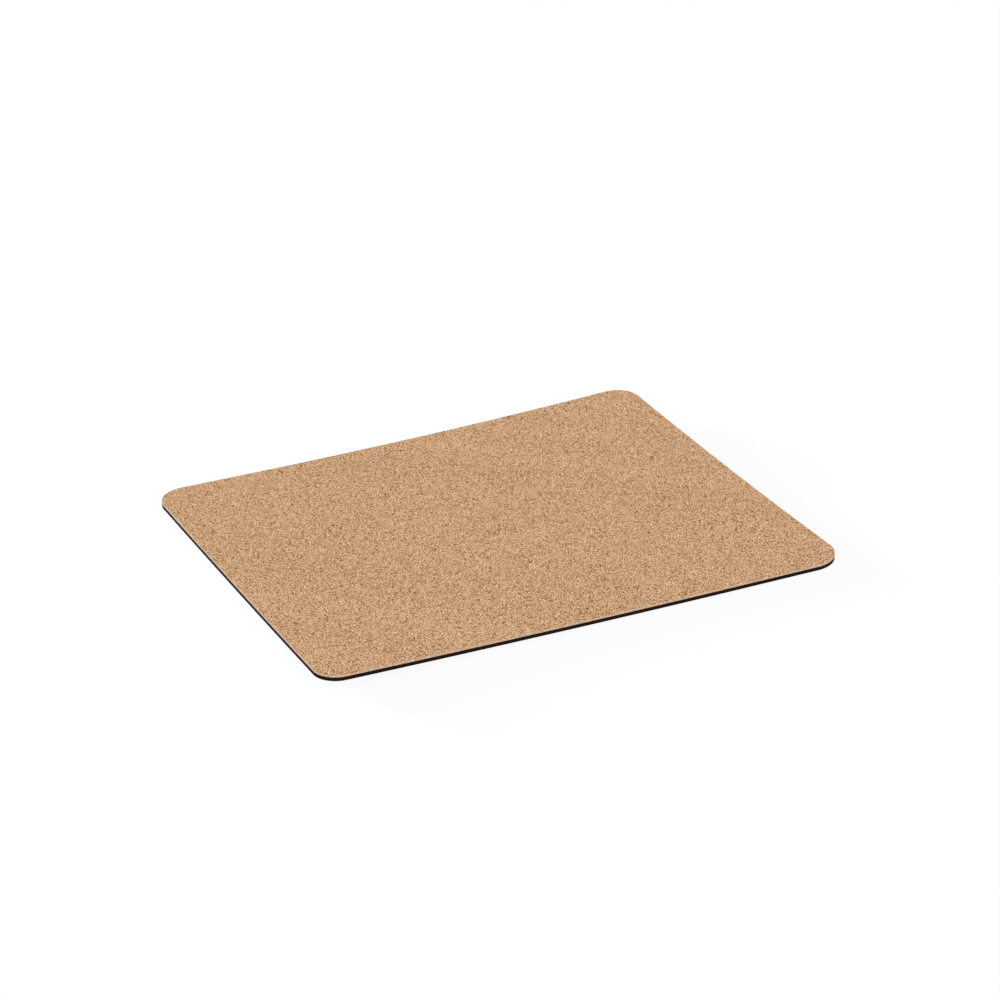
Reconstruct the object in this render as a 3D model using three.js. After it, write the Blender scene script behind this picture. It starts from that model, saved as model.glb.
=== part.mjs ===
// A cork-topped mouse mat: a foam base, a film of glue and a cork sheet, cut together in one stroke.
// Millimetres, +Z up. The origin is in the middle of the underside, and -Y faces the person at the desk.
import * as THREE from "three";

// The outline that the die cuts. Its corners aren't equally round.
const matWidth = 220;
const matDepth = 180;
const frontLeftRadius = 9;
const frontRightRadius = 13.5;
const backLeftRadius = 12;
const backRightRadius = 10.5;

// The thickness of each layer, from the desk up
const foamThickness = 1.45;
const filmThickness = 0.1;
const corkThickness = 0.8;

// The mat has curled about one diagonal: how high the tips of the two corners off that diagonal have
// risen from the desk, and how far in from its tip each of them starts to bend
const backRightLift = 4.4;
const frontLeftLift = 2;
const curlReach = 120;

// How finely a sheet is divided: steps along each straight stretch, and across half of each round corner
const straightColumns = 10;
const straightRows = 8;
const cornerSteps = 5;

const columns = straightColumns + 2 * cornerSteps;
const rows = straightRows + 2 * cornerSteps;

// Across is 1 on the right and -1 on the left, and along is 1 at the back and -1 at the front
const curls = [
  { across: 1, along: 1, lift: backRightLift },
  { across: -1, along: -1, lift: frontLeftLift },
];

// Radius of a corner, and between the corners a blend of theirs
function radiusAt(across, along) {
  const toRight = (1 + across) / 2;
  const front = THREE.MathUtils.lerp(frontLeftRadius, frontRightRadius, toRight);
  const back = THREE.MathUtils.lerp(backLeftRadius, backRightRadius, toRight);
  return THREE.MathUtils.lerp(front, back, (1 + along) / 2);
}

// Height of the curled mat above the desk. A corner bends as a sheet does, about straight lines that
// cross its diagonal, and more and more steeply from its first bend to its tip.
function curlHeight(x, y) {
  let height = 0;
  for (const { across, along, lift } of curls) {
    // The round corner's tip lies a little short of the sharp corner that its two edges would make
    const tipInset = radiusAt(across, along) * (Math.SQRT2 - 1);
    const fromEdges = matWidth / 2 - across * x + matDepth / 2 - along * y;
    const fromTip = fromEdges * Math.SQRT1_2 - tipInset;
    height += lift * Math.max(0, 1 - fromTip / curlReach) ** 2;
  }
  return height;
}

// Where a grid line lies from the middle of the straight stretch, 0, to either end of it, -1 or 1.
// The lines that cross a corner count as the end.
function straightShare(number, steps) {
  return THREE.MathUtils.clamp((number - steps / 2) / (steps / 2 - cornerSteps), -1, 1);
}

// Place of a grid line across one of the mat's two lengths. Between the corners the lines are even,
// and past them they close up so that they cut the arc into equal steps.
function linePlace(number, steps, length, radius) {
  const fromMiddle = number - steps / 2;
  const past = Math.max(Math.abs(fromMiddle) - (steps / 2 - cornerSteps), 0) / cornerSteps;
  const intoCorner = Math.sign(fromMiddle) * radius * Math.tan(past * Math.PI / 4);
  return (length / 2 - radius) * straightShare(number, steps) + intoCorner;
}

// Draws a square corner in to the round one: each square about the arc's centre becomes an arc
function roundCorner(point, radius) {
  const centreX = matWidth / 2 - radius;
  const centreY = matDepth / 2 - radius;
  const pastX = Math.abs(point.x) - centreX;
  const pastY = Math.abs(point.y) - centreY;
  if (pastX <= 0 || pastY <= 0) return;
  const drawnIn = Math.max(pastX, pastY) / Math.hypot(pastX, pastY);
  point.x = Math.sign(point.x) * (centreX + pastX * drawnIn);
  point.y = Math.sign(point.y) * (centreY + pastY * drawnIn);
}

// The grid that all layers share, drawn in to the outline and lifted by the curl of the corners
function curledGrid() {
  const grid = new THREE.PlaneGeometry(matWidth, matDepth, columns, rows);
  const points = grid.attributes.position;
  const point = new THREE.Vector3();
  for (let i = 0; i < points.count; i += 1) {
    point.fromBufferAttribute(points, i);
    const column = Math.round((point.x / matWidth + 1 / 2) * columns);
    const row = Math.round((point.y / matDepth + 1 / 2) * rows);
    const radius = radiusAt(straightShare(column, columns), straightShare(row, rows));
    point.x = linePlace(column, columns, matWidth, radius);
    point.y = linePlace(row, rows, matDepth, radius);
    roundCorner(point, radius);
    points.setXYZ(i, point.x, point.y, curlHeight(point.x, point.y));
  }
  return grid;
}

// The grid's vertices along the mat's edge, anticlockwise from the front left corner.
// The grid counts them in rows from the back, each row from the left.
function rimOf() {
  const vertexAt = (column, row) => row * (columns + 1) + column;
  const rim = [];
  for (let column = 0; column < columns; column += 1) {
    rim.push(vertexAt(column, rows));
  }
  for (let row = rows; row > 0; row -= 1) {
    rim.push(vertexAt(columns, row));
  }
  for (let column = columns; column > 0; column -= 1) {
    rim.push(vertexAt(column, 0));
  }
  for (let row = 0; row < rows; row += 1) {
    rim.push(vertexAt(0, row));
  }
  return rim;
}

// One layer: the grid at two heights, and a wall between them round the rim.
// The layers lie face to face, because they share the grid and meet at the same heights.
function curledSheet(grid, underside, topside) {
  const points = grid.attributes.position;
  const triangles = grid.index.array;
  const places = [];
  for (const level of [topside, underside]) {
    for (let i = 0; i < points.count; i += 1) {
      places.push(points.getX(i), points.getY(i), level + points.getZ(i));
    }
  }
  // The lower face's vertices follow the upper face's
  const below = points.count;
  const faces = [...triangles];
  for (let i = 0; i < triangles.length; i += 3) {
    faces.push(triangles[i + 2] + below, triangles[i + 1] + below, triangles[i] + below);
  }
  const rim = rimOf();
  rim.forEach((here, i) => {
    const next = rim[(i + 1) % rim.length];
    faces.push(here + below, next + below, next);
    faces.push(here + below, next, here);
  });
  const sheet = new THREE.BufferGeometry();
  sheet.setAttribute("position", new THREE.Float32BufferAttribute(places, 3));
  sheet.setIndex(faces);
  sheet.computeVertexNormals();
  return sheet;
}

// Fine-celled black foam, matt and slightly grippy
function foamMaterial() {
  return new THREE.MeshStandardMaterial({ color: "#1b1816", roughness: 0.9, metalness: 0 });
}

// Dried contact glue, darkened by the foam under it
function glueMaterial() {
  return new THREE.MeshStandardMaterial({ color: "#4a3a2a", roughness: 0.5, metalness: 0 });
}

// Ground cork pressed with a binder and sanded flat
function corkMaterial() {
  return new THREE.MeshStandardMaterial({ color: "#c59d77", roughness: 0.85, metalness: 0 });
}

// The layers in the order that they are laid up, each on the one before
function buildMat() {
  const layers = [
    { name: "foam_base", thickness: foamThickness, material: foamMaterial() },
    { name: "adhesive_film", thickness: filmThickness, material: glueMaterial() },
    { name: "cork_sheet", thickness: corkThickness, material: corkMaterial() },
  ];
  const mat = new THREE.Group();
  const grid = curledGrid();
  let height = 0;
  for (const { name, thickness, material } of layers) {
    const sheet = new THREE.Mesh(curledSheet(grid, height, height + thickness), material);
    sheet.name = name;
    mat.add(sheet);
    height += thickness;
  }
  return mat;
}

export default buildMat();
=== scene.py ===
import math

import bmesh
import bpy
from mathutils import Color, Matrix, Vector, noise


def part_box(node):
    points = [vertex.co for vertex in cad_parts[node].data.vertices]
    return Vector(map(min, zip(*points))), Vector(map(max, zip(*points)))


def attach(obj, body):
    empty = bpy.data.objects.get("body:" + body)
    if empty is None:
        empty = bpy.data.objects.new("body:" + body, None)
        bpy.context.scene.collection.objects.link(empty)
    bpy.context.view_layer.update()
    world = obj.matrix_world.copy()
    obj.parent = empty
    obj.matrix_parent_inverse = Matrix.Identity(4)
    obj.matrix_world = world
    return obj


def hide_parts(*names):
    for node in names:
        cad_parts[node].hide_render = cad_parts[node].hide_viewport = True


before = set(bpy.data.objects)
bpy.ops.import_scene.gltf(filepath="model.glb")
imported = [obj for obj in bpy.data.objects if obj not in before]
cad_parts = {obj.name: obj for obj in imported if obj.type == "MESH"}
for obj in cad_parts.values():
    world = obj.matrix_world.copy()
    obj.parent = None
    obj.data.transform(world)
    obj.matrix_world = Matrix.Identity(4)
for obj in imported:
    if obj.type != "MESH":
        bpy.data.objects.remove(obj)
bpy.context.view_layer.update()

MM = 0.001

# Halfway along whatever runs from 0 to 1: a length, a thickness, a tone, the map
MIDDLE = 0.5

# The outline that the die cuts. Its corners aren't equally round. A corner's first number is 1 on
# the right and -1 on the left, and its second is 1 at the back and -1 at the front.
foam_low, foam_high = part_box("foam_base")
MAT_WIDTH = foam_high.x - foam_low.x
MAT_DEPTH = foam_high.y - foam_low.y
CORNER_RADII = {(-1, -1): 9 * MM, (1, -1): 13.5 * MM, (-1, 1): 12 * MM, (1, 1): 10.5 * MM}

# The underside and topside of each layer where the mat lies flat
CORK_THICKNESS = 0.8 * MM
film_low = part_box("adhesive_film")[0]
cork_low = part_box("cork_sheet")[0]
FOAM_LEVELS = (foam_low.z, film_low.z)
GLUE_LEVELS = (film_low.z, cork_low.z)
CORK_LEVELS = (cork_low.z, cork_low.z + CORK_THICKNESS)

# The mat has curled about one diagonal: how high the tips of the two corners off it have risen, and
# how far in from its tip each of them starts to bend
CORNER_LIFTS = {(1, 1): 4.4 * MM, (-1, -1): 2 * MM}
CURL_REACH = 120 * MM

# How finely the sheets are divided: along the cut edge, round a corner, across a rounded edge and
# across the wide faces. Points closer than a sliver are joined.
RIM_STEP = 0.36 * MM
ARC_STEPS = 48
ROUNDING_STEPS = 3
BEND_STEP = 6 * MM
SLIVER = 0.003 * MM

# Each sheet has one material on its wide faces, whose normals are steep, and one on its cut edge
WIDE = 0
CUT = 1
STEEP = 0.5

# An edge that turns by more than this is shaded as a sharp one
SHARP_ANGLE = math.radians(40)

# Each sheet is also laid out flat on a square map, for painting. From the bottom up there are a row
# for each of the four sides, a row for one wide face, and the rest for the other. These are shares
# of the map.
MAP_NAME = "OFBake"
MAP_GAP = 0.004
SIDES = 4
SIDE_ROW = 0.016
SMALL_ROW = 0.08

# The cut edges. The blade squeezes the foam, which springs back hollow, and it breaks crumbs off
# the cork, whose edge also wanders a little in steps finer than a crumb. The glue's edge wanders in
# longer ones.
FOAM_RINGS = 6
FOAM_HOLLOW = 0.06 * MM
FOAM_LOWER_ROUND = 0.12 * MM
GLUE_SET_BACK = 0.05 * MM
CORK_RINGS = 3
CORK_UPPER_ROUND = 0.08 * MM
CRUMB_SIZE = 0.55 * MM
CRUMB_DEPTH = 0.16 * MM
CRUMB_SHARE = 0.3
EDGE_WANDER = 0.02 * MM
WANDER_RATE = 2.7
GLUE_WANDER_SIZE = 2 * CRUMB_SIZE

# Cork in the tones of its grains, from bark specks to clean new cells, and the paler cork of a
# fresh cut
CORK_TONES = [
    (0.00, "#572900"),
    (0.14, "#8b5a14"),
    (0.34, "#ca985e"),
    (0.50, "#ebc194"),
    (0.66, "#fad5af"),
    (0.86, "#ffe4c6"),
    (1.00, "#fff0da"),
]
FRESH_CORK = "#e6d0bb"

# How many finer patterns lie within a soft noise pattern
PLAIN_DETAIL = 2
RICH_DETAIL = 3

# The cork's pattern. The spreads are how much each kind of grain varies in tone, and the sizes are
# shares of the size of a grain.
GRAIN_SIZE = 0.95 * MM
GRAIN_SPREAD = 0.08
CRUMB_SPREAD = 0.48
CRUMB_SIZE_SHARE = 0.35
FIBRE_SPREAD = 0.55
FIBRE_SIZE_SHARE = 0.14
RAGGED_SHARE = 0.6
SPECK_SIZE_SHARE = 0.7
SPECK_RADIUS_SHARE = 0.4
SPECK_RADIUS_SPREAD = 1.0
SPECK_BLUR = 0.1
CHOICE_BLUR = 0.02
BARK_SHARE = 0.07
BARK_DARKENING = 1.0
PALE_SHARE = 0.04
PALE_LIGHTENING = 0.3
JOINT_WIDTH_SHARE = 0.18
JOINT_STRENGTH = 0.85
JOINT_TINT = "#8a5a10"
CORK_ROUGHNESS = 0.84
ROUGHNESS_SPREAD = 0.16
TOP_GLOSS = 0.25
CUT_GLOSS = 0.15
CUT_CONTRAST = 0.9
FRESH_SHARE = 0.5

# The cork's relief: how deep it goes in all, and the share of each kind of mark
TOP_RELIEF = 0.04 * MM
CUT_RELIEF = 0.08 * MM
SANDED_LEVEL = 0.4
CRUMB_RISE = 0.35
FIBRE_RISE = 0.3
JOINT_DEPTH = 0.4
BARK_DEPTH = 0.5

# The foam's tones, and its bubbles where it is cut. A bubble's wall lies between two shares of its
# size from its middle, and cloudy patches are this many times its size.
FOAM_DARK = "#110803"
FOAM_LIGHT = "#2c1c10"
FOAM_CELL = 0.16 * MM
WALL_SHARES = (0.2, 0.65)
CLOUD_SIZE_SHARE = 40
FOAM_TONE = 0.35
FOAM_TONE_SPREAD = 0.5
# Painted shade: how much darker the hollow of an open bubble is coloured
OPEN_CELL_PAINTED_SHADE = 0.6
FOAM_ROUGHNESS = 0.7
FOAM_ROUGHNESS_SPREAD = 0.2
CUT_FOAM_RELIEF = 0.05 * MM
CUT_FOAM_GLOSS = 0.1

# The foam's skin, which faces the desk: wider bubbles, mostly closed, and the imprint of a fine net
SKIN_CELL = 0.48 * MM
SKIN_OPENNESS = 0.4
SKIN_RELIEF = 0.04 * MM
SKIN_GLOSS = 0.3
NET_PITCH = 1.6 * MM
NET_THREAD = 0.4 * MM
NET_DEPTH = 2.5
# Painted shade: how much darker the net's pressed threads are coloured
NET_PAINTED_SHADE = 0.4

# The dried glue
GLUE_DARK = "#150e09"
GLUE_LIGHT = "#2a1c12"
GLUE_LUMP = 1.2 * MM
GLUE_ROUGHNESS = 0.4
GLUE_ROUGHNESS_SPREAD = 0.3
GLUE_RELIEF = 0.03 * MM
GLUE_GLOSS = 0.3


def shade(text):
    """A colour written as it looks on a screen, as the linear colour that a shader takes."""
    red, green, blue = (int(text[i:i + 2], 16) / 255 for i in (1, 3, 5))
    return (*Color((red, green, blue)).from_srgb_to_scene_linear(), 1)


def curl_height(x, y):
    """Height of the curled mat above the desk. A corner bends about straight lines that cross its
    diagonal."""
    height = 0
    for (across, along), lift in CORNER_LIFTS.items():
        tip_inset = CORNER_RADII[across, along] * (math.sqrt(2) - 1)
        from_edges = MAT_WIDTH / 2 - across * x + MAT_DEPTH / 2 - along * y
        from_tip = from_edges / math.sqrt(2) - tip_inset
        height += lift * max(0, 1 - from_tip / CURL_REACH) ** 2
    return height


def outwards(place):
    """The level direction in which the cut edge faces, for a place on it."""
    radius = CORNER_RADII[math.copysign(1, place.x), math.copysign(1, place.y)]
    straight_x = MAT_WIDTH / 2 - radius
    straight_y = MAT_DEPTH / 2 - radius
    inner_x = min(max(place.x, -straight_x), straight_x)
    inner_y = min(max(place.y, -straight_y), straight_y)
    return (place.xy - Vector((inner_x, inner_y))).normalized().to_3d()


def noise_share(place):
    """Smooth noise between 0 and 1."""
    return MIDDLE + noise.noise(place) / 2


def flat_sheet(levels, rings):
    """A flat sheet of the die's outline between two levels, its cut edge divided by this many
    rings."""
    bottom, top = levels
    bm = bmesh.new()
    bmesh.ops.create_grid(bm, x_segments=1, y_segments=1, size=1)
    bmesh.ops.scale(bm, vec=(MAT_WIDTH / 2, MAT_DEPTH / 2, 1), verts=bm.verts)
    for (across, along), radius in CORNER_RADII.items():
        corner = max(bm.verts, key=lambda v: across * v.co.x + along * v.co.y)
        bmesh.ops.bevel(bm, geom=[corner], offset=radius, offset_type="OFFSET", segments=ARC_STEPS,
                        profile=0.5, affect="VERTICES", material=-1)
    for edge in [e for e in bm.edges if e.calc_length() > 2 * RIM_STEP]:
        bmesh.ops.subdivide_edges(bm, edges=[edge], cuts=round(edge.calc_length() / RIM_STEP) - 1)
    bmesh.ops.translate(bm, vec=(0, 0, bottom), verts=bm.verts)
    made = bmesh.ops.extrude_face_region(bm, geom=bm.faces[:], use_keep_orig=True)
    raised = [v for v in made["geom"] if isinstance(v, bmesh.types.BMVert)]
    bmesh.ops.translate(bm, vec=(0, 0, top - bottom), verts=raised)
    bmesh.ops.recalc_face_normals(bm, faces=bm.faces)
    if rings:
        upright = [e for e in bm.edges if e.verts[0].co.z != e.verts[1].co.z]
        bmesh.ops.subdivide_edges(bm, edges=upright, cuts=rings)
    for face in bm.faces:
        face.material_index = WIDE if abs(face.normal.z) > STEEP else CUT
    return bm


def round_edge(bm, level, width):
    """Rounds the sharp edge between a wide face at this level and the cut edge."""
    rim = [e for e in bm.edges if all(abs(v.co.z - level) < SLIVER for v in e.verts) and
           any(abs(f.normal.z) < STEEP for f in e.link_faces)]
    made = bmesh.ops.bevel(bm, geom=rim, offset=width, offset_type="OFFSET",
                           segments=ROUNDING_STEPS, profile=0.5, affect="EDGES", material=-1)
    for face in made["faces"]:
        face.material_index = CUT


def draw_map(bm, levels, favoured):
    """Lays the sheet out flat on its map, each face as seen from outside. Most of the map goes to
    the wide face that faces up, 1, or down, -1."""
    bottom, top = levels
    small_from = MAP_GAP + SIDES * (SIDE_ROW + MAP_GAP)
    large_from = small_from + SMALL_ROW + MAP_GAP
    large_row = 1 - MAP_GAP - large_from
    layer = bm.loops.layers.uv.new(MAP_NAME)
    for face in bm.faces:
        wide = face.material_index == WIDE
        away = outwards(face.calc_center_median())
        turned = abs(away.x) > abs(away.y)
        if wide:
            way = math.copysign(1, face.normal.z)
            low, height = (large_from, large_row) if way == favoured else (small_from, SMALL_ROW)
        else:
            way = math.copysign(1, away.x if turned else -away.y)
            low, height = MAP_GAP + (turned + (1 + way)) * (SIDE_ROW + MAP_GAP), SIDE_ROW
        for loop in face.loops:
            x, y, z = loop.vert.co
            sideways = y / MAT_DEPTH if turned and not wide else x / MAT_WIDTH
            upwards = y / MAT_DEPTH + MIDDLE if wide else (z - bottom) / (top - bottom)
            loop[layer].uv = (MIDDLE + way * sideways * (1 - 2 * MAP_GAP), low + upwards * height)


def divide_faces(bm):
    """Cuts the sheet in strips both ways, so that its wide faces can follow the curl."""
    for length, direction in ((MAT_WIDTH, Vector((1, 0, 0))), (MAT_DEPTH, Vector((0, 1, 0)))):
        strips = round(length / BEND_STEP)
        for i in range(1, strips):
            place = direction * length * (i / strips - MIDDLE)
            bmesh.ops.bisect_plane(bm, geom=bm.verts[:] + bm.edges[:] + bm.faces[:],
                                   plane_co=place, plane_no=direction)
    bmesh.ops.remove_doubles(bm, verts=bm.verts, dist=SLIVER)


def finish_sheet(bm, name, node, materials):
    """Curls the flat sheet up at its corners, and makes it a piece that stands for its solid."""
    for vert in bm.verts:
        vert.co.z += curl_height(vert.co.x, vert.co.y)
    mesh = bpy.data.meshes.new(name)
    bm.to_mesh(mesh)
    bm.free()
    for material in materials:
        mesh.materials.append(material)
    mesh.shade_smooth()
    mesh.set_sharp_from_angle(angle=SHARP_ANGLE)
    piece = bpy.data.objects.new(name, mesh)
    bpy.context.scene.collection.objects.link(piece)
    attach(piece, "root")
    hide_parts(node)
    return piece


def on_rim(vert):
    """True for what belongs to the cut edge or its rounding."""
    return any(face.material_index == CUT for face in vert.link_faces)


def foam_sheet(materials):
    """The base: its cut edge is a little hollow, and its lower edge is rounded."""
    bottom, top = FOAM_LEVELS
    bm = flat_sheet(FOAM_LEVELS, FOAM_RINGS)
    for vert in bm.verts:
        share = (vert.co.z - bottom) / (top - bottom)
        vert.co -= outwards(vert.co) * FOAM_HOLLOW * math.sin(math.pi * share)
    round_edge(bm, bottom, FOAM_LOWER_ROUND)
    draw_map(bm, FOAM_LEVELS, -1)
    divide_faces(bm)
    return finish_sheet(bm, "foam_sheet", "foam_base", materials)


def glue_film(materials):
    """The dried glue, which stops a hair short of the cut edge of the two sheets, unevenly."""
    bm = flat_sheet(GLUE_LEVELS, 0)
    draw_map(bm, GLUE_LEVELS, 1)
    for vert in bm.verts:
        uneven = 1 + noise.noise(vert.co / GLUE_WANDER_SIZE)
        vert.co -= outwards(vert.co) * GLUE_SET_BACK * uneven
    divide_faces(bm)
    return finish_sheet(bm, "glue_line", "adhesive_film", materials)


def cork_sheet(materials):
    """The cork: handling has rounded its upper edge, and grains have crumbled from its cut edge."""
    bottom, top = CORK_LEVELS
    bm = flat_sheet(CORK_LEVELS, CORK_RINGS)
    round_edge(bm, top, CORK_UPPER_ROUND)
    draw_map(bm, CORK_LEVELS, 1)
    for vert in [v for v in bm.verts if on_rim(v)]:
        broken = noise_share(vert.co / CRUMB_SIZE)
        depth = CRUMB_DEPTH * max(0, broken - 1 + CRUMB_SHARE) / CRUMB_SHARE
        wander = EDGE_WANDER * (1 + noise.noise(vert.co / CRUMB_SIZE * WANDER_RATE))
        share = (vert.co.z - bottom) / (top - bottom)
        vert.co -= outwards(vert.co) * (depth + wander)
        vert.co.z -= depth * max(0, share - MIDDLE)
    divide_faces(bm)
    return finish_sheet(bm, "cork_top", "cork_sheet", materials)


def new_material(name):
    """A material, with its nodes, its links and its shader."""
    material = bpy.data.materials.new(name)
    material.use_nodes = True
    nodes, links = material.node_tree.nodes, material.node_tree.links
    return material, nodes, links, nodes["Principled BSDF"]


# The kinds of sockets, and what each pattern gives for its surface
VECTOR = "NodeSocketVector"
NUMBER = "NodeSocketFloat"
COLOR = "NodeSocketColor"
SURFACE = {"Color": COLOR, "Roughness": NUMBER, "Height": NUMBER}


def new_group(name, inputs, outputs):
    """A group of shader nodes with named inputs and outputs, each with its kind."""
    group = bpy.data.node_groups.new(name, "ShaderNodeTree")
    for label, kind in inputs.items():
        group.interface.new_socket(label, in_out="INPUT", socket_type=kind)
    for label, kind in outputs.items():
        group.interface.new_socket(label, in_out="OUTPUT", socket_type=kind)
    nodes, links = group.nodes, group.links
    return group, nodes, links, nodes.new("NodeGroupInput"), nodes.new("NodeGroupOutput")


def maths(nodes, links, operation, *values, clamp=False):
    """A Math node on sockets or plain numbers. Returns its result."""
    node = nodes.new("ShaderNodeMath")
    node.operation = operation
    node.use_clamp = clamp
    for socket, value in zip(node.inputs, values):
        if isinstance(value, bpy.types.NodeSocket):
            links.new(value, socket)
        else:
            socket.default_value = value
    return node.outputs[0]


def mixed(nodes, links, blend, factor, first, second):
    """A colour Mix node on sockets or plain values. Returns its result."""
    node = nodes.new("ShaderNodeMix")
    node.data_type = "RGBA"
    node.blend_type = blend
    sockets = [s for s in node.inputs if s.enabled]
    for socket, value in zip(sockets, (factor, first, second)):
        if isinstance(value, bpy.types.NodeSocket):
            links.new(value, socket)
        else:
            socket.default_value = value
    return next(s for s in node.outputs if s.enabled)


def cells(nodes, links, place, size, feature="F1"):
    """A Voronoi pattern of irregular cells of about this size."""
    node = nodes.new("ShaderNodeTexVoronoi")
    node.voronoi_dimensions = "3D"
    node.feature = feature
    links.new(place, node.inputs["Vector"])
    links.new(maths(nodes, links, "DIVIDE", 1, size), node.inputs["Scale"])
    return node


def mottle(nodes, links, place, size, detail=PLAIN_DETAIL):
    """A soft noise pattern of about this size."""
    node = nodes.new("ShaderNodeTexNoise")
    node.inputs["Detail"].default_value = detail
    links.new(place, node.inputs["Vector"])
    links.new(maths(nodes, links, "DIVIDE", 1, size), node.inputs["Scale"])
    return node


def stepped(nodes, links, value, low, high):
    """A mask that rises from 0 to 1 as the value goes from low to high."""
    node = nodes.new("ShaderNodeMapRange")
    node.interpolation_type = "SMOOTHSTEP"
    node.inputs["From Min"].default_value = low
    node.inputs["From Max"].default_value = high
    links.new(value, node.inputs["Value"])
    return node.outputs["Result"]


def cork_grain():
    """Ground cork in a binder: grains and smaller crumbs in many tones, and specks of bark."""
    group, nodes, links, given, result = new_group(
        "Cork grain", {"Vector": VECTOR, "Grain Size": NUMBER, "Contrast": NUMBER}, SURFACE)
    size = given.outputs["Grain Size"]

    def share_of_size(share):
        return maths(nodes, links, "MULTIPLY", size, share)

    def draw(node, channel):
        """One of the three random numbers that each cell has."""
        split = nodes.new("ShaderNodeSeparateColor")
        links.new(node.outputs["Color"], split.inputs[0])
        return split.outputs[channel]

    def varied(number, spread, onto):
        """Adds a number between 0 and 1 to another, centred on zero and scaled by its spread."""
        centred = maths(nodes, links, "MULTIPLY_ADD", number, spread, -spread / 2)
        return maths(nodes, links, "ADD", centred, onto)

    def chosen(number, share):
        """A mask of the cells that drew one of the highest numbers."""
        return stepped(nodes, links, number, 1 - share - CHOICE_BLUR, 1 - share + CHOICE_BLUR)

    # Ragged grains: the place is pushed about by noise before the cells are drawn
    ragged = mottle(nodes, links, given.outputs["Vector"], size, RICH_DETAIL)
    push = nodes.new("ShaderNodeVectorMath")
    push.operation = "MULTIPLY_ADD"
    reach = share_of_size(RAGGED_SHARE)
    spread = nodes.new("ShaderNodeCombineXYZ")
    for axis in spread.inputs:
        links.new(reach, axis)
    links.new(ragged.outputs["Color"], push.inputs[0])
    links.new(spread.outputs[0], push.inputs[1])
    links.new(given.outputs["Vector"], push.inputs[2])
    place = push.outputs[0]

    grains = cells(nodes, links, place, size)
    crumbs = cells(nodes, links, place, share_of_size(CRUMB_SIZE_SHARE))
    specks = cells(nodes, links, place, share_of_size(SPECK_SIZE_SHARE))
    joints = cells(nodes, links, place, size, feature="DISTANCE_TO_EDGE")
    fibre = mottle(nodes, links, given.outputs["Vector"], share_of_size(FIBRE_SIZE_SHARE))

    # Each kind of grain moves the tone about its middle
    tone = varied(draw(grains, 0), GRAIN_SPREAD, 0)
    tone = varied(draw(crumbs, 0), CRUMB_SPREAD, tone)
    tone = varied(fibre.outputs[0], FIBRE_SPREAD, tone)
    tone = maths(nodes, links, "MULTIPLY_ADD", tone, given.outputs["Contrast"], MIDDLE)

    # A few of the speck cells hold a speck of bark, and a few a pale one, in various sizes
    speck_size = varied(draw(specks, 0), SPECK_RADIUS_SPREAD, 1)
    far = maths(nodes, links, "DIVIDE", specks.outputs["Distance"], speck_size)
    near = stepped(nodes, links, far,
                   SPECK_RADIUS_SHARE + SPECK_BLUR, SPECK_RADIUS_SHARE - SPECK_BLUR)
    bark = maths(nodes, links, "MULTIPLY", chosen(draw(specks, 1), BARK_SHARE), near)
    pale = maths(nodes, links, "MULTIPLY", chosen(draw(specks, 2), PALE_SHARE), near)
    tone = maths(nodes, links, "MULTIPLY_ADD", bark, -BARK_DARKENING, tone)
    tone = maths(nodes, links, "MULTIPLY_ADD", pale, PALE_LIGHTENING, tone, clamp=True)

    ramp = nodes.new("ShaderNodeValToRGB")
    elements = ramp.color_ramp.elements
    while len(elements) < len(CORK_TONES):
        elements.new(MIDDLE)
    for element, (position, text) in zip(elements, CORK_TONES):
        element.position = position
        element.color = shade(text)
    links.new(tone, ramp.inputs[0])

    # Binder shows as thin brown joints between grains
    joint = stepped(nodes, links, joints.outputs["Distance"], JOINT_WIDTH_SHARE, 0)
    strength = maths(nodes, links, "MULTIPLY", joint, JOINT_STRENGTH)
    color = mixed(nodes, links, "MULTIPLY", strength, ramp.outputs[0], shade(JOINT_TINT))
    links.new(color, result.inputs["Color"])

    # Sanded level, but bark and joints lie deeper, and crumbs and fibres stand a little proud
    height = maths(nodes, links, "MULTIPLY_ADD", draw(crumbs, 1), CRUMB_RISE, SANDED_LEVEL)
    height = maths(nodes, links, "MULTIPLY_ADD", fibre.outputs[0], FIBRE_RISE, height)
    height = maths(nodes, links, "MULTIPLY_ADD", joint, -JOINT_DEPTH, height)
    height = maths(nodes, links, "MULTIPLY_ADD", bark, -BARK_DEPTH, height)
    links.new(height, result.inputs["Height"])
    links.new(varied(draw(grains, 1), ROUGHNESS_SPREAD, CORK_ROUGHNESS), result.inputs["Roughness"])
    return group


def net_threads(nodes, links, place):
    """A mask of the crossing threads of a net that lies level, on the slant."""
    split = nodes.new("ShaderNodeSeparateXYZ")
    links.new(place, split.inputs[0])
    across, along = split.outputs[0], split.outputs[1]
    distances = []
    for operation in ("ADD", "SUBTRACT"):
        slanted = maths(nodes, links, operation, across, along)
        distances.append(maths(nodes, links, "PINGPONG", slanted, NET_PITCH / math.sqrt(2)))
    nearest = maths(nodes, links, "MINIMUM", *distances)
    return stepped(nodes, links, nearest, NET_THREAD, 0)


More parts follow.
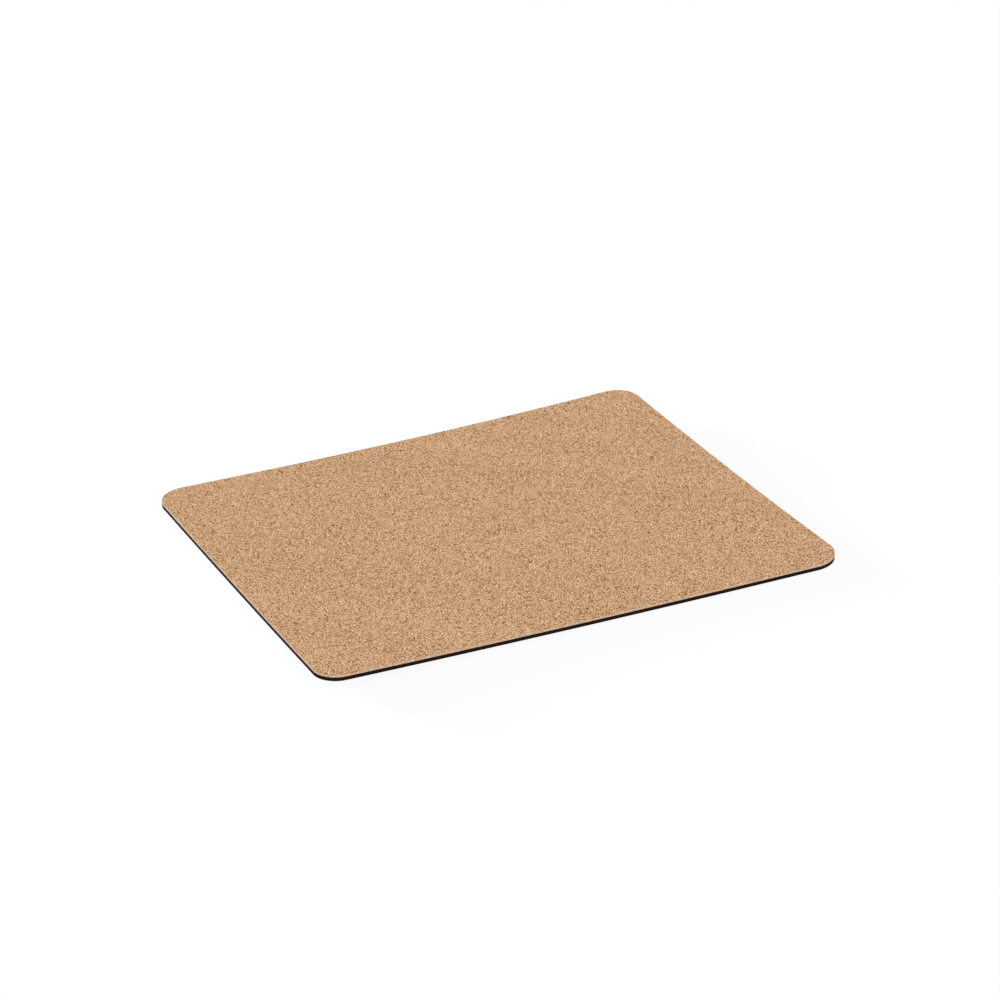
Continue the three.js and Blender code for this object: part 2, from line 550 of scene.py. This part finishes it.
def foam_cells():
    """Closed-cell foam: fine bubbles, some of them open, and on its skin the imprint of a net. Open
    bubbles and pressed threads lie deeper, with painted shade.
    """
    group, nodes, links, given, result = new_group(
        "Foam cells",
        {"Vector": VECTOR, "Cell Size": NUMBER, "Openness": NUMBER, "Imprint": NUMBER}, SURFACE)
    place, size = given.outputs["Vector"], given.outputs["Cell Size"]
    bubbles = cells(nodes, links, place, size)
    cloud_size = maths(nodes, links, "MULTIPLY", size, CLOUD_SIZE_SHARE)
    cloud = mottle(nodes, links, place, cloud_size, RICH_DETAIL)
    wall = stepped(nodes, links, bubbles.outputs["Distance"], *WALL_SHARES)
    open_cell = maths(nodes, links, "SUBTRACT", 1, wall)
    dip = maths(nodes, links, "MULTIPLY", open_cell, given.outputs["Openness"])
    threads = net_threads(nodes, links, place)
    pressed = maths(nodes, links, "MULTIPLY", threads, given.outputs["Imprint"])
    tone = maths(nodes, links, "MULTIPLY_ADD", cloud.outputs[0], FOAM_TONE_SPREAD, FOAM_TONE)
    # Painted shade in the net's pressed threads, which lie deeper
    tone = maths(nodes, links, "MULTIPLY_ADD", pressed, -NET_PAINTED_SHADE, tone)
    # Painted shade in the open bubbles, which lie deeper
    tone = maths(nodes, links, "MULTIPLY_ADD", dip, -OPEN_CELL_PAINTED_SHADE, tone, clamp=True)
    color = mixed(nodes, links, "MIX", tone, shade(FOAM_DARK), shade(FOAM_LIGHT))
    links.new(color, result.inputs["Color"])
    height = maths(nodes, links, "SUBTRACT", 1, dip)
    height = maths(nodes, links, "MULTIPLY_ADD", pressed, -NET_DEPTH, height)
    links.new(height, result.inputs["Height"])
    rough = maths(nodes, links, "MULTIPLY_ADD",
                  cloud.outputs[0], FOAM_ROUGHNESS_SPREAD, FOAM_ROUGHNESS)
    links.new(rough, result.inputs["Roughness"])
    return group


def patterned(name, group, settings, specular, bump_depth):
    """A material whose colour, roughness and bump come from a group, on the piece's coordinates."""
    material, nodes, links, shader = new_material(name)
    shader.inputs["Specular IOR Level"].default_value = specular
    coordinates = nodes.new("ShaderNodeTexCoord")
    pattern = nodes.new("ShaderNodeGroup")
    pattern.node_tree = group
    links.new(coordinates.outputs["Object"], pattern.inputs["Vector"])
    for label, value in settings.items():
        pattern.inputs[label].default_value = value
    bump = nodes.new("ShaderNodeBump")
    bump.inputs["Distance"].default_value = bump_depth
    links.new(pattern.outputs["Height"], bump.inputs["Height"])
    links.new(bump.outputs["Normal"], shader.inputs["Normal"])
    links.new(pattern.outputs["Roughness"], shader.inputs["Roughness"])
    links.new(pattern.outputs["Color"], shader.inputs["Base Color"])
    return material


def sanded_cork(grain):
    """Cork on the wide faces, sanded flat."""
    settings = {"Grain Size": GRAIN_SIZE, "Contrast": 1}
    return patterned("Sanded cork", grain, settings, TOP_GLOSS, TOP_RELIEF)


def cut_cork(grain):
    """Cork on the cut edge, paler because it hasn't been handled or sanded."""
    settings = {"Grain Size": GRAIN_SIZE, "Contrast": CUT_CONTRAST}
    material = patterned("Cut cork", grain, settings, CUT_GLOSS, CUT_RELIEF)
    nodes, links = material.node_tree.nodes, material.node_tree.links
    pattern = next(n for n in nodes if n.type == "GROUP")
    paler = mixed(nodes, links, "MIX", FRESH_SHARE, pattern.outputs["Color"], shade(FRESH_CORK))
    links.new(paler, nodes["Principled BSDF"].inputs["Base Color"])
    return material


def foam_skin(foam):
    """The foam's closed skin on its wide faces."""
    settings = {"Cell Size": SKIN_CELL, "Openness": SKIN_OPENNESS, "Imprint": 1}
    return patterned("Foam skin", foam, settings, SKIN_GLOSS, SKIN_RELIEF)


def cut_foam(foam):
    """Foam on the cut edge, where the blade has opened its bubbles."""
    settings = {"Cell Size": FOAM_CELL, "Openness": 1, "Imprint": 0}
    return patterned("Cut foam", foam, settings, CUT_FOAM_GLOSS, CUT_FOAM_RELIEF)


def dried_glue():
    """Contact glue: a dull brown film with small lumps."""
    material, nodes, links, shader = new_material("Dried glue")
    shader.inputs["Specular IOR Level"].default_value = GLUE_GLOSS
    coordinates = nodes.new("ShaderNodeTexCoord")
    lumps = mottle(nodes, links, coordinates.outputs["Object"], GLUE_LUMP, RICH_DETAIL)
    color = mixed(nodes, links, "MIX", lumps.outputs[0], shade(GLUE_DARK), shade(GLUE_LIGHT))
    links.new(color, shader.inputs["Base Color"])
    rough = maths(nodes, links, "MULTIPLY_ADD",
                  lumps.outputs[0], GLUE_ROUGHNESS_SPREAD, GLUE_ROUGHNESS)
    links.new(rough, shader.inputs["Roughness"])
    bump = nodes.new("ShaderNodeBump")
    bump.inputs["Distance"].default_value = GLUE_RELIEF
    links.new(lumps.outputs[0], bump.inputs["Height"])
    links.new(bump.outputs["Normal"], shader.inputs["Normal"])
    return material


# The studio: even light from all round, and a wide lamp up at the back left. A light of 1 makes a
# white surface that lies level look white.
EVEN_LIGHT = 0.88
LAMP_LIGHT = 1 - EVEN_LIGHT
LAMP_AZIMUTH = math.radians(135)
LAMP_ELEVATION = math.radians(42)
LAMP_SPREAD = math.radians(35)

# A low lamp that lights nothing but the floor in sight, and gives the mat its long, faint shadow
LOW_LIGHT = 0.6
LOW_AZIMUTH = math.radians(118)
LOW_ELEVATION = math.radians(5.1)
LOW_SPREAD = math.radians(6)

# The floor in sight lies a hair above the one that throws light up at the mat. A ray that sees
# either of them gets only a share of the shade on it.
FLOOR_SIZE = 3
FLOOR_GAP = 0.01 * MM
SHADOW_SHARE = 0.075


def seen(nodes, links):
    """1 for rays from the camera, or from it by way of gloss or glass."""
    path = nodes.new("ShaderNodeLightPath")
    direct, gloss = path.outputs["Is Camera Ray"], path.outputs["Is Glossy Ray"]
    either = maths(nodes, links, "MAXIMUM", direct, gloss)
    return maths(nodes, links, "MAXIMUM", either, path.outputs["Is Transmission Ray"])


def light_world():
    """Even light from all round, which is plain white where it is seen."""
    world = bpy.data.worlds.new("Studio")
    bpy.context.scene.world = world
    world.use_nodes = True
    nodes, links = world.node_tree.nodes, world.node_tree.links
    background = nodes["Background"]
    background.inputs["Color"].default_value = (1, 1, 1, 1)
    strength = maths(nodes, links, "MULTIPLY_ADD", seen(nodes, links), 1 - EVEN_LIGHT, EVEN_LIGHT)
    links.new(strength, background.inputs["Strength"])


def hang_lamp(name, share, azimuth, elevation, spread):
    """A wide lamp, strong enough to give a level surface this share of full light."""
    lamp = bpy.data.lights.new(name, "SUN")
    lamp.energy = share * math.pi / math.sin(elevation)
    lamp.angle = spread
    holder = bpy.data.objects.new(name, lamp)
    level = math.cos(elevation)
    towards = Vector((level * math.cos(azimuth), level * math.sin(azimuth), math.sin(elevation)))
    holder.rotation_euler = towards.to_track_quat("Z", "Y").to_euler()
    bpy.context.scene.collection.objects.link(holder)
    return holder


def white_floor(name, height, light):
    """A floor that looks white under this much light, and shows the mat's shadow faintly."""
    bm = bmesh.new()
    bmesh.ops.create_grid(bm, x_segments=1, y_segments=1, size=FLOOR_SIZE)
    bmesh.ops.translate(bm, vec=(0, 0, height), verts=bm.verts)
    mesh = bpy.data.meshes.new(name)
    bm.to_mesh(mesh)
    bm.free()
    floor = bpy.data.objects.new(name, mesh)
    bpy.context.scene.collection.objects.link(floor)
    material, nodes, links, shader = new_material(name)
    shader.inputs["Base Color"].default_value = (1 / light, 1 / light, 1 / light, 1)
    shader.inputs["Roughness"].default_value = 1
    shader.inputs["Specular IOR Level"].default_value = 0
    white = nodes.new("ShaderNodeEmission")
    blend = nodes.new("ShaderNodeMixShader")
    unshaded = maths(nodes, links, "MULTIPLY", seen(nodes, links), 1 - SHADOW_SHARE)
    links.new(unshaded, blend.inputs[0])
    links.new(shader.outputs[0], blend.inputs[1])
    links.new(white.outputs[0], blend.inputs[2])
    links.new(blend.outputs[0], nodes["Material Output"].inputs["Surface"])
    mesh.materials.append(material)
    return floor


def lay_floors():
    """One floor to light the mat from below, and one for the camera, on which the low lamp shines
    too."""
    lighting = white_floor("floor", -FLOOR_GAP, 1)
    lighting.visible_camera = False
    in_sight = white_floor("floor_in_sight", 0, 1 + LOW_LIGHT)
    in_sight.visible_diffuse = False
    in_sight.visible_glossy = False
    in_sight.visible_transmission = False
    in_sight.visible_shadow = False
    low_lamp = hang_lamp("low_lamp", LOW_LIGHT, LOW_AZIMUTH, LOW_ELEVATION, LOW_SPREAD)
    lit = bpy.data.collections.new("lit_by_low_lamp")
    lit.objects.link(in_sight)
    low_lamp.light_linking.receiver_collection = lit


# The camera: what it looks at, from which side, how steeply, how far it is rolled, how far away it
# stands, and its lens and film in mm
LOOKS_AT = Vector((15.34 * MM, 23.43 * MM, 0))
AZIMUTH = math.radians(-25.714)
ELEVATION = math.radians(25.319)
ROLL = math.radians(-0.6955)
DISTANCE = 1101.3 * MM
LENS = 97.2
FILM_WIDTH = 36


def place_camera():
    """Stands the camera back from what it looks at, and rolls it."""
    level = math.cos(ELEVATION)
    back = Vector((math.sin(AZIMUTH) * level, -math.cos(AZIMUTH) * level, math.sin(ELEVATION)))
    right = (-back).cross(Vector((0, 0, 1))).normalized()
    up = right.cross(-back)
    rolled_right = right * math.cos(ROLL) + up * math.sin(ROLL)
    rolled_up = up * math.cos(ROLL) - right * math.sin(ROLL)
    data = bpy.data.cameras.new("camera")
    data.lens = LENS
    data.sensor_width = FILM_WIDTH
    camera = bpy.data.objects.new("camera", data)
    turn = Matrix((rolled_right, rolled_up, back)).transposed().to_4x4()
    camera.matrix_world = Matrix.Translation(LOOKS_AT + back * DISTANCE) @ turn
    bpy.context.scene.collection.objects.link(camera)
    bpy.context.scene.camera = camera


place_camera()
light_world()
hang_lamp("lamp", LAMP_LIGHT, LAMP_AZIMUTH, LAMP_ELEVATION, LAMP_SPREAD)
lay_floors()
bpy.context.scene.view_settings.view_transform = "Standard"

grain = cork_grain()
foam = foam_cells()
base = foam_sheet([foam_skin(foam), cut_foam(foam)])
glue_film([dried_glue(), dried_glue()])
cork_sheet([sanded_cork(grain), cut_cork(grain)])
